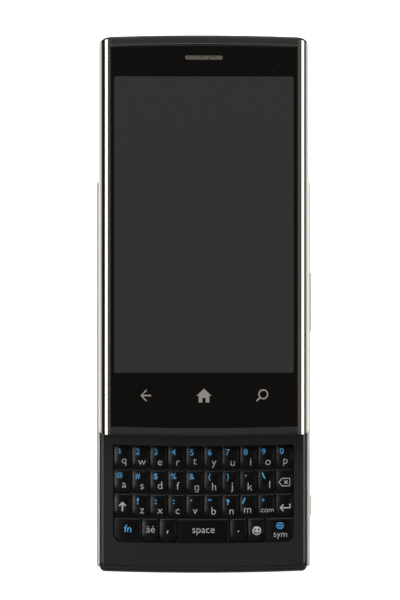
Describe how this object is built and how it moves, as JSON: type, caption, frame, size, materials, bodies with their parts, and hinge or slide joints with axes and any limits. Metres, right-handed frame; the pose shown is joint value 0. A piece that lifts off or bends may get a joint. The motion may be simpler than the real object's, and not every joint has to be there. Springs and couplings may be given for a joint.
{
  "type": "sliding mobile phone",
  "caption": "Portrait sliding phone: a touch-screen slab with chrome side rails slides up on T-shaped guides to uncover a thumb keyboard.",
  "frame": {"origin": "middle of the base's back face, which lies on the table", "axes": "+X to the right across the phone, +Y towards the earpiece end, +Z out of the screen; slid open"},
  "size_m": [0.0654, 0.163, 0.0149],
  "materials": {
    "dark_frame": "satin",
    "chrome_rail": "polished",
    "cover_glass": "gloss",
    "display": "gloss",
    "earpiece_mesh": "woven",
    "slide_steel": "brushed",
    "screw_steel": "machined",
    "base_frame": "satin",
    "back_plastic": "fine texture",
    "rim_metal": "satin",
    "deck_plastic": "satin",
    "board": "solder mask",
    "battery_wrap": "film",
    "camera_black": "gloss",
    "speaker_black": "matte",
    "jack_black": "gloss",
    "socket_steel": "stamped",
    "ribbon_film": "film",
    "button_metal": "satin",
    "key_plastic": "gloss"
  },
  "bodies": {
    "base": {"mid_frame": "base_frame", "back_cover": "back_plastic", "base_rims": "rim_metal", "key_deck": "deck_plastic", "guide_carriage": "slide_steel", "keypad_board": "board", "main_board": "board", "battery": "battery_wrap", "camera_module": "camera_black", "loudspeaker": "speaker_black", "headphone_jack": "jack_black", "usb_socket": "socket_steel", "flex_ribbon": "ribbon_film"},
    "slab": {"slab_frame": "dark_frame", "slab_rails": "chrome_rail", "front_glass": "cover_glass", "display_panel": "display", "earpiece": "earpiece_mesh", "slide_plate": "slide_steel", "plate_screws": "screw_steel"},
    "volume_rocker": {"volume_rocker": "button_metal"},
    "camera_key": {"camera_key": "button_metal"},
    "power_key": {"power_key": "button_metal"},
    "key_q": {"key_q": "key_plastic"},
    "key_w": {"key_w": "key_plastic"},
    "key_e": {"key_e": "key_plastic"},
    "key_r": {"key_r": "key_plastic"},
    "key_t": {"key_t": "key_plastic"},
    "key_y": {"key_y": "key_plastic"},
    "key_u": {"key_u": "key_plastic"},
    "key_i": {"key_i": "key_plastic"},
    "key_o": {"key_o": "key_plastic"},
    "key_p": {"key_p": "key_plastic"},
    "key_a": {"key_a": "key_plastic"},
    "key_s": {"key_s": "key_plastic"},
    "key_d": {"key_d": "key_plastic"},
    "key_f": {"key_f": "key_plastic"},
    "key_g": {"key_g": "key_plastic"},
    "key_h": {"key_h": "key_plastic"},
    "key_j": {"key_j": "key_plastic"},
    "key_k": {"key_k": "key_plastic"},
    "key_l": {"key_l": "key_plastic"},
    "key_z": {"key_z": "key_plastic"},
    "key_x": {"key_x": "key_plastic"},
    "key_c": {"key_c": "key_plastic"},
    "key_v": {"key_v": "key_plastic"},
    "key_b": {"key_b": "key_plastic"},
    "key_n": {"key_n": "key_plastic"},
    "key_m": {"key_m": "key_plastic"},
    "key_backspace": {"key_backspace": "key_plastic"},
    "key_shift": {"key_shift": "key_plastic"},
    "key_domain": {"key_domain": "key_plastic"},
    "key_enter": {"key_enter": "key_plastic"},
    "key_fn": {"key_fn": "key_plastic"},
    "key_accent": {"key_accent": "key_plastic"},
    "key_comma": {"key_comma": "key_plastic"},
    "key_space": {"key_space": "key_plastic"},
    "key_period": {"key_period": "key_plastic"},
    "key_emoticon": {"key_emoticon": "key_plastic"},
    "key_symbols": {"key_symbols": "key_plastic"}
  },
  "joints": [
    {"name": "slab_slide", "type": "slide", "parent": "base", "child": "slab", "axis": [0, 1, 0], "range_m": [-0.042, 0], "deforming": ["flex_ribbon"]},
    {"name": "volume_rock", "type": "hinge", "parent": "base", "child": "volume_rocker", "pos_m": [0.03085, 0.022, 0.0054], "axis": [0, 0, 1], "range_deg": [-1.5, 1.5], "stiffness_Nm_per_rad": 0.3},
    {"name": "camera_key_press", "type": "slide", "parent": "base", "child": "camera_key", "axis": [-1, 0, 0], "range_m": [0, 0.0004], "stiffness_N_per_m": 2500, "springref_m": -0.0004},
    {"name": "power_key_press", "type": "slide", "parent": "base", "child": "power_key", "axis": [0, -1, 0], "range_m": [0, 0.0004], "stiffness_N_per_m": 2500, "springref_m": -0.0004},
    {"name": "key_q_press", "type": "slide", "parent": "base", "child": "key_q", "axis": [0, 0, -1], "range_m": [0, 0.00035], "stiffness_N_per_m": 1500, "springref_m": -0.0004},
    {"name": "key_w_press", "type": "slide", "parent": "base", "child": "key_w", "axis": [0, 0, -1], "range_m": [0, 0.00035], "stiffness_N_per_m": 1500, "springref_m": -0.0004},
    {"name": "key_e_press", "type": "slide", "parent": "base", "child": "key_e", "axis": [0, 0, -1], "range_m": [0, 0.00035], "stiffness_N_per_m": 1500, "springref_m": -0.0004},
    {"name": "key_r_press", "type": "slide", "parent": "base", "child": "key_r", "axis": [0, 0, -1], "range_m": [0, 0.00035], "stiffness_N_per_m": 1500, "springref_m": -0.0004},
    {"name": "key_t_press", "type": "slide", "parent": "base", "child": "key_t", "axis": [0, 0, -1], "range_m": [0, 0.00035], "stiffness_N_per_m": 1500, "springref_m": -0.0004},
    {"name": "key_y_press", "type": "slide", "parent": "base", "child": "key_y", "axis": [0, 0, -1], "range_m": [0, 0.00035], "stiffness_N_per_m": 1500, "springref_m": -0.0004},
    {"name": "key_u_press", "type": "slide", "parent": "base", "child": "key_u", "axis": [0, 0, -1], "range_m": [0, 0.00035], "stiffness_N_per_m": 1500, "springref_m": -0.0004},
    {"name": "key_i_press", "type": "slide", "parent": "base", "child": "key_i", "axis": [0, 0, -1], "range_m": [0, 0.00035], "stiffness_N_per_m": 1500, "springref_m": -0.0004},
    {"name": "key_o_press", "type": "slide", "parent": "base", "child": "key_o", "axis": [0, 0, -1], "range_m": [0, 0.00035], "stiffness_N_per_m": 1500, "springref_m": -0.0004},
    {"name": "key_p_press", "type": "slide", "parent": "base", "child": "key_p", "axis": [0, 0, -1], "range_m": [0, 0.00035], "stiffness_N_per_m": 1500, "springref_m": -0.0004},
    {"name": "key_a_press", "type": "slide", "parent": "base", "child": "key_a", "axis": [0, 0, -1], "range_m": [0, 0.00035], "stiffness_N_per_m": 1500, "springref_m": -0.0004},
    {"name": "key_s_press", "type": "slide", "parent": "base", "child": "key_s", "axis": [0, 0, -1], "range_m": [0, 0.00035], "stiffness_N_per_m": 1500, "springref_m": -0.0004},
    {"name": "key_d_press", "type": "slide", "parent": "base", "child": "key_d", "axis": [0, 0, -1], "range_m": [0, 0.00035], "stiffness_N_per_m": 1500, "springref_m": -0.0004},
    {"name": "key_f_press", "type": "slide", "parent": "base", "child": "key_f", "axis": [0, 0, -1], "range_m": [0, 0.00035], "stiffness_N_per_m": 1500, "springref_m": -0.0004},
    {"name": "key_g_press", "type": "slide", "parent": "base", "child": "key_g", "axis": [0, 0, -1], "range_m": [0, 0.00035], "stiffness_N_per_m": 1500, "springref_m": -0.0004},
    {"name": "key_h_press", "type": "slide", "parent": "base", "child": "key_h", "axis": [0, 0, -1], "range_m": [0, 0.00035], "stiffness_N_per_m": 1500, "springref_m": -0.0004},
    {"name": "key_j_press", "type": "slide", "parent": "base", "child": "key_j", "axis": [0, 0, -1], "range_m": [0, 0.00035], "stiffness_N_per_m": 1500, "springref_m": -0.0004},
    {"name": "key_k_press", "type": "slide", "parent": "base", "child": "key_k", "axis": [0, 0, -1], "range_m": [0, 0.00035], "stiffness_N_per_m": 1500, "springref_m": -0.0004},
    {"name": "key_l_press", "type": "slide", "parent": "base", "child": "key_l", "axis": [0, 0, -1], "range_m": [0, 0.00035], "stiffness_N_per_m": 1500, "springref_m": -0.0004},
    {"name": "key_z_press", "type": "slide", "parent": "base", "child": "key_z", "axis": [0, 0, -1], "range_m": [0, 0.00035], "stiffness_N_per_m": 1500, "springref_m": -0.0004},
    {"name": "key_x_press", "type": "slide", "parent": "base", "child": "key_x", "axis": [0, 0, -1], "range_m": [0, 0.00035], "stiffness_N_per_m": 1500, "springref_m": -0.0004},
    {"name": "key_c_press", "type": "slide", "parent": "base", "child": "key_c", "axis": [0, 0, -1], "range_m": [0, 0.00035], "stiffness_N_per_m": 1500, "springref_m": -0.0004},
    {"name": "key_v_press", "type": "slide", "parent": "base", "child": "key_v", "axis": [0, 0, -1], "range_m": [0, 0.00035], "stiffness_N_per_m": 1500, "springref_m": -0.0004},
    {"name": "key_b_press", "type": "slide", "parent": "base", "child": "key_b", "axis": [0, 0, -1], "range_m": [0, 0.00035], "stiffness_N_per_m": 1500, "springref_m": -0.0004},
    {"name": "key_n_press", "type": "slide", "parent": "base", "child": "key_n", "axis": [0, 0, -1], "range_m": [0, 0.00035], "stiffness_N_per_m": 1500, "springref_m": -0.0004},
    {"name": "key_m_press", "type": "slide", "parent": "base", "child": "key_m", "axis": [0, 0, -1], "range_m": [0, 0.00035], "stiffness_N_per_m": 1500, "springref_m": -0.0004},
    {"name": "key_backspace_press", "type": "slide", "parent": "base", "child": "key_backspace", "axis": [0, 0, -1], "range_m": [0, 0.00035], "stiffness_N_per_m": 1500, "springref_m": -0.0004},
    {"name": "key_shift_press", "type": "slide", "parent": "base", "child": "key_shift", "axis": [0, 0, -1], "range_m": [0, 0.00035], "stiffness_N_per_m": 1500, "springref_m": -0.0004},
    {"name": "key_domain_press", "type": "slide", "parent": "base", "child": "key_domain", "axis": [0, 0, -1], "range_m": [0, 0.00035], "stiffness_N_per_m": 1500, "springref_m": -0.0004},
    {"name": "key_enter_press", "type": "slide", "parent": "base", "child": "key_enter", "axis": [0, 0, -1], "range_m": [0, 0.00035], "stiffness_N_per_m": 1500, "springref_m": -0.0004},
    {"name": "key_fn_press", "type": "slide", "parent": "base", "child": "key_fn", "axis": [0, 0, -1], "range_m": [0, 0.00035], "stiffness_N_per_m": 1500, "springref_m": -0.0004},
    {"name": "key_accent_press", "type": "slide", "parent": "base", "child": "key_accent", "axis": [0, 0, -1], "range_m": [0, 0.00035], "stiffness_N_per_m": 1500, "springref_m": -0.0004},
    {"name": "key_comma_press", "type": "slide", "parent": "base", "child": "key_comma", "axis": [0, 0, -1], "range_m": [0, 0.00035], "stiffness_N_per_m": 1500, "springref_m": -0.0004},
    {"name": "key_space_press", "type": "slide", "parent": "base", "child": "key_space", "axis": [0, 0, -1], "range_m": [0, 0.00035], "stiffness_N_per_m": 1500, "springref_m": -0.0004},
    {"name": "key_period_press", "type": "slide", "parent": "base", "child": "key_period", "axis": [0, 0, -1], "range_m": [0, 0.00035], "stiffness_N_per_m": 1500, "springref_m": -0.0004},
    {"name": "key_emoticon_press", "type": "slide", "parent": "base", "child": "key_emoticon", "axis": [0, 0, -1], "range_m": [0, 0.00035], "stiffness_N_per_m": 1500, "springref_m": -0.0004},
    {"name": "key_symbols_press", "type": "slide", "parent": "base", "child": "key_symbols", "axis": [0, 0, -1], "range_m": [0, 0.00035], "stiffness_N_per_m": 1500, "springref_m": -0.0004}
  ]
}
